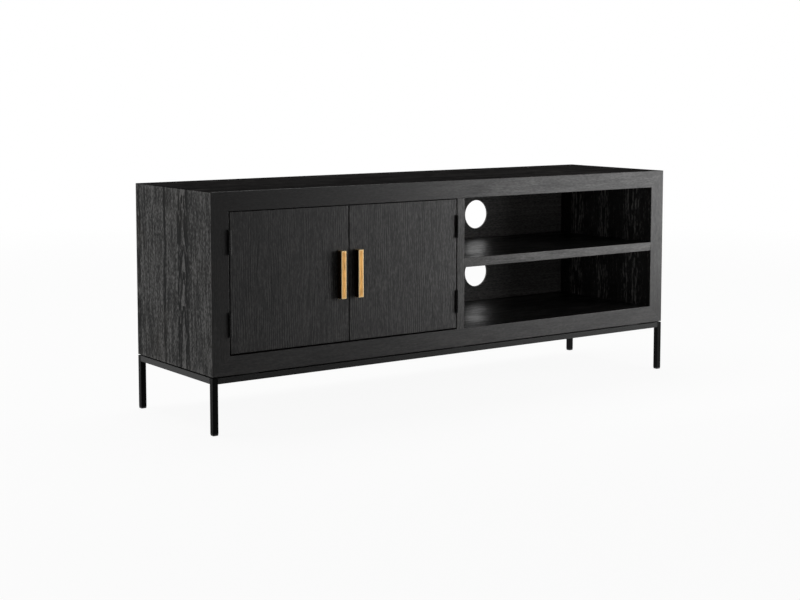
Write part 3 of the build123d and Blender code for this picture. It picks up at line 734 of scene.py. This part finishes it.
def makeMesh(name, place, quadSlots, attributes, flip):
    # place is a (stations, profile points, 3) grid, closed round the profile, capped at both ends
    rows, columns = place.shape[:2]
    index = np.arange(rows * columns).reshape(rows, columns)
    following = np.roll(index, -1, axis=1)
    quads = np.stack([index[:-1], following[:-1], following[1:], index[1:]], axis=-1)
    faces = quads.reshape(-1, 4).tolist() + [index[0, ::-1].tolist(), index[-1].tolist()]
    if flip:
        faces = [corners[::-1] for corners in faces]
    mesh = bpy.data.meshes.new(name)
    mesh.from_pydata(place.reshape(-1, 3).tolist(), [], faces)
    slots = np.concatenate([np.tile(quadSlots, rows - 1), [0, 0]]).astype(np.int32)
    mesh.polygons.foreach_set("material_index", slots)
    mesh.polygons.foreach_set("use_smooth", np.ones(len(slots), dtype=bool))
    for key, values in attributes.items():
        layer = mesh.attributes.new(key, "FLOAT", "POINT")
        layer.data.foreach_set("value", values.astype(np.float32).ravel())
    mesh.set_sharp_from_angle(angle=sharpAngle)
    mesh.update()
    return mesh


def showPiece(name, mesh, materials, node, body):
    for material in materials:
        mesh.materials.append(finishes[material])
    piece = bpy.data.objects.new(name, mesh)
    scene.collection.objects.link(piece)
    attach(piece, body)
    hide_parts(node)


def roundOver(r, distance):
    # How far a quarter round of radius r has drawn in at a distance from its end:
    # r - sqrt(r^2 - (r - distance)^2)
    gap = np.clip(r - distance, 0, r)
    return r - np.sqrt(r * r - gap * gap)


def buildBoard(node, board, s=boardSettings):
    # along runs with the grain, across the width of the board and inward from its outer face:
    # point = corner + along * A + across * B + inward * C. A point then sinks under its face by
    # sink + relief * (flush - tone), which dies out towards the edges.
    points, normals, across, owner, inside = traceProfile(
        board["corners"], board["radii"], board["faces"], s["arcSteps"]
    )
    length, mitre = board["length"], board["mitre"]
    inward = points[:, 1]
    stations = np.linspace(0, 1, max(2, round(length / board["alongStep"])) + 1)
    if mitre:
        # the end draws in by as much as it lies inward, and its sharp outer edge is eased
        inset = np.maximum(inward, s["mitreEase"] - inward)
    else:
        inset = np.zeros_like(inward)
        ends = s["edgeRound"] / length * np.array(s["endSteps"])
        stations = np.unique(np.concatenate([stations, ends, 1 - ends]))
    along = inset + stations[:, None] * (length - 2 * inset)
    fromEnd = np.minimum(along, length - along)
    fade = np.clip(inside / s["fade"], 0, 1)
    back = np.zeros_like(along)
    if not mitre:
        # the front edge rounds over at both ends
        fade = fade * np.clip((fromEnd - s["edgeRound"]) / s["fade"], 0, 1)
        back = roundOver(s["edgeRound"], fromEnd) * (1 - inward / inward.max())
    tone = np.zeros_like(along)
    sink = np.zeros_like(along)
    for i, face in enumerate(board["faces"]):
        columns = owner == i
        place = across[columns]
        fromEdge = np.minimum(place, place.max() - place)[None, :]
        fromEdge = np.minimum(fromEdge, fromEnd[:, columns])
        tone[:, columns] = grainTone(along[:, columns], place[None, :], face["cut"], face["seed"])
        # a painted highlight: the tone is raised near exposed edges, where rounded edges catch the
        # light
        tone[:, columns] += face["highlight"] * np.exp(-fromEdge / s["highlightWide"])
        sink[:, columns] = face["sink"]
    sunk = (sink + s["relief"] * np.clip(s["flush"] - tone, 0, 1)) * fade
    b = points[:, 0] - sunk * normals[:, 0]
    c = inward - sunk * normals[:, 1] + back
    axes = np.array(board["axes"], float)
    grid = np.array(board["origin"]) + along[..., None] * axes[0]
    grid = grid + b[..., None] * axes[1] + c[..., None] * axes[2]
    slots = np.array([face["slot"] for face in board["faces"]])[owner]
    flip = np.linalg.det(axes) < 0
    name = node + "_board"
    mesh = makeMesh(name, grid, slots, {"grain": tone}, flip)
    showPiece(name, mesh, board["materials"], node, board["body"])


def boardFace(cut, seed, step="fine", slot=0, sink=0.0, highlight=0.0, s=boardSettings):
    return {"cut": cut, "seed": seed, "step": s[step], "slot": slot, "sink": sink, "highlight": highlight}


topLow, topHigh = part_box("top_panel")
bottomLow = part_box("bottom_panel")[0]
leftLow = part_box("left_side_panel")[0]
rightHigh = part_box("right_side_panel")[1]
frontY = topLow.y
depth = topHigh.y - frontY
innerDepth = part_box("back_panel")[0].y - frontY
thick = topHigh.z - topLow.z
carcassWidth = rightHigh.x - leftLow.x
carcassHeight = topHigh.z - bottomLow.z
edgeRound, sink = boardSettings["edgeRound"], boardSettings["sink"]


def mitredBoard(node, seed, length, origin, axes, look, s=boardSettings):
    # One of the four carcass boards, with a rebate for the back board along its inner rear edge
    seat = thick - s["rebate"]
    buildBoard(node, {
        "corners": [
            (0, 0), (depth, 0), (depth, seat), (innerDepth, seat), (innerDepth, thick), (0, thick),
        ],
        "radii": [edgeRound, edgeRound, 0, 0, 0, edgeRound],
        "faces": [
            boardFace(look["outerCut"], seed, look["outerStep"], highlight=look["highlight"]),
            boardFace(edgeCut, seed + 1, "coarse", slot=2),
            boardFace(edgeCut, seed + 2, "coarse", slot=2),
            boardFace(edgeCut, seed + 3, "coarse", slot=2),
            boardFace(look["innerCut"], seed + 4, look["innerStep"], 1, look["innerSink"]),
            boardFace(edgeCut, seed + 5, slot=2),
        ],
        "length": length, "alongStep": look["alongStep"], "mitre": True,
        "origin": origin, "axes": axes, "materials": look["materials"], "body": "carcass",
    })


def plainBoard(node, seed, body, size, origin, axes, look):
    # A straight board: size is (along, across, thickness)
    along, across, thickness = size
    buildBoard(node, {
        "corners": [(0, 0), (across, 0), (across, thickness), (0, thickness)],
        "radii": [edgeRound] * 4,
        "faces": [
            boardFace(look["cut"], seed, sink=look["faceSink"]),
            boardFace(edgeCut, seed + 1, "medium", slot=1, sink=look["edgeSink"]),
            boardFace(look["cut"], seed + 2, look["backStep"]),
            boardFace(edgeCut, seed + 3, slot=1, sink=look["edgeSink"]),
        ],
        "length": along, "alongStep": look["alongStep"], "mitre": False,
        "origin": origin, "axes": axes, "materials": look["materials"], "body": body,
    })


xAxis, yAxis, zAxis = (1, 0, 0), (0, 1, 0), (0, 0, 1)
minusX, minusZ = (-1, 0, 0), (0, 0, -1)

# materials: outer face, inner face and edges
topLook = {
    "materials": ["shadedOuterOak", "shadedInnerOak", "longEdge"], "outerCut": topCut, "innerCut": plainCut,
    "outerStep": "fine", "innerStep": "medium", "alongStep": 11 * mm, "highlight": 0.0, "innerSink": 0.0,
}
bottomLook = {
    **topLook, "materials": ["shadedOuterOak", "shadedInnerOak", "lowEdge"], "outerCut": plainCut,
    "innerCut": floorCut, "outerStep": "medium", "innerStep": "fine",
}
# the side panels' outer faces are painted paler near their exposed edges, as a highlight
leftLook = {
    "materials": ["sideOak", "wallOak", "uprightEdge"], "outerCut": crownCut, "innerCut": plainCut,
    "outerStep": "fine", "innerStep": "fine", "alongStep": 4.5 * mm, "highlight": 0.3, "innerSink": sink,
}
rightLook = {**leftLook, "innerCut": wallCut, "innerSink": 0.0}
leftBottom = (leftLow.x, frontY, bottomLow.z)
leftTop = (leftLow.x, frontY, topHigh.z)
rightBottom = (rightHigh.x, frontY, bottomLow.z)
mitredBoard("top_panel", 100, carcassWidth, leftTop, (xAxis, yAxis, minusZ), topLook)
mitredBoard("bottom_panel", 200, carcassWidth, leftBottom, (xAxis, yAxis, zAxis), bottomLook)
mitredBoard("left_side_panel", 300, carcassHeight, leftBottom, (zAxis, yAxis, xAxis), leftLook)
mitredBoard("right_side_panel", 400, carcassHeight, rightBottom, (zAxis, yAxis, minusX), rightLook)

# materials: faces and edges
shelfLook = {
    "materials": ["shadedInnerOak", "shelfEdge"], "cut": floorCut, "backStep": "medium",
    "alongStep": 9 * mm, "faceSink": 0.0, "edgeSink": 0.0,
}
for node, seed in (("media_shelf", 500), ("door_bay_shelf", 600)):
    low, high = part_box(node)
    size = (high.x - low.x, high.y - low.y, high.z - low.z)
    origin = (low.x, low.y, high.z)
    plainBoard(node, seed, "carcass", size, origin, (xAxis, yAxis, minusZ), shelfLook)

dividerLook = {
    **shelfLook, "materials": ["wallOak", "dividerEdge"], "backStep": "fine",
    "alongStep": 6 * mm, "faceSink": sink,
}
low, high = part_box("centre_divider")
size = (high.z - low.z, high.y - low.y, high.x - low.x)
plainBoard("centre_divider", 700, "carcass", size, tuple(low), (zAxis, yAxis, xAxis), dividerLook)

doorLook = {
    **shelfLook, "materials": ["doorOak", "uprightEdge"], "cut": doorCut, "backStep": "fine",
    "alongStep": 4.5 * mm, "edgeSink": sink,
}
for node, seed in (("left_door", 800), ("right_door", 900)):
    low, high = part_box(node)
    size = (high.z - low.z, high.x - low.x, high.y - low.y)
    plainBoard(node, seed, node, size, tuple(low), (zAxis, xAxis, yAxis), doorLook)
print("boards made")


# Handle bars: a flat bar whose front edges and ends are rounded over

barSettings = {
    "round": 1.5 * mm,
    "arcSteps": 6,
    "step": 0.6 * mm,          # spacing round the bar
    "alongStep": 2.5 * mm,     # and up it
    "highlight": 1.6 * mm,           # the brass is painted pale, as a highlight, this far in from an edge
    "turn": 2.0,               # how soon a side that turns forward counts as the front
}


def buildHandle(side, s=barSettings):
    # A rounded rectangle carried up the bar; near an end its front and sides draw in by a quarter
    # round, while its back stays flat on the door
    low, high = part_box(side + "_handle_bar")
    width, thickness, length = high.x - low.x, high.y - low.y, high.z - low.z
    corners = [(0, 0), (width, 0), (width, thickness), (0, thickness)]
    r = s["round"]
    points, normals = traceProfile(corners, [r, r, 0, 0], [s] * 4, s["arcSteps"])[:2]
    ends = r * (1 - np.cos(np.linspace(0, np.pi / 2, s["arcSteps"] + 1)))
    middle = np.arange(ends[-1], length - ends[-1], s["alongStep"])[1:]
    along = np.concatenate([ends, middle, length - ends[::-1]])[:, None]
    fromEnd = np.minimum(along, length - along)
    drawnIn = roundOver(r, fromEnd)
    across, forward = points[:, 0], -normals[:, 1]
    fromSide = np.minimum(across, width - across)
    sideways = drawnIn * np.clip(r - fromSide, 0, r) / r * np.sign(width / 2 - across)
    x = low.x + across + sideways
    y = low.y + points[:, 1] + drawnIn * np.clip(forward, 0, 1)
    z = low.z + along + 0 * x
    grid = np.stack([x, y, z], axis=-1)
    front = np.maximum(np.clip(s["turn"] * forward, 0, 1), 1 - np.clip(fromEnd / r, 0, 1))
    # 1 along the edges and ends, where the pale brass is painted on as a highlight
    edge = np.exp(-np.clip(np.minimum(fromSide, fromEnd) - r / 2, 0, None) / s["highlight"])
    name = side + "_handle_brass_bar"
    mesh = makeMesh(name, grid, np.zeros(len(points)), {"front": front, "edge": edge}, False)
    showPiece(name, mesh, ["brass"], side + "_handle_bar", side + "_door")


for side in ("left", "right"):
    buildHandle(side)
print("handles made")
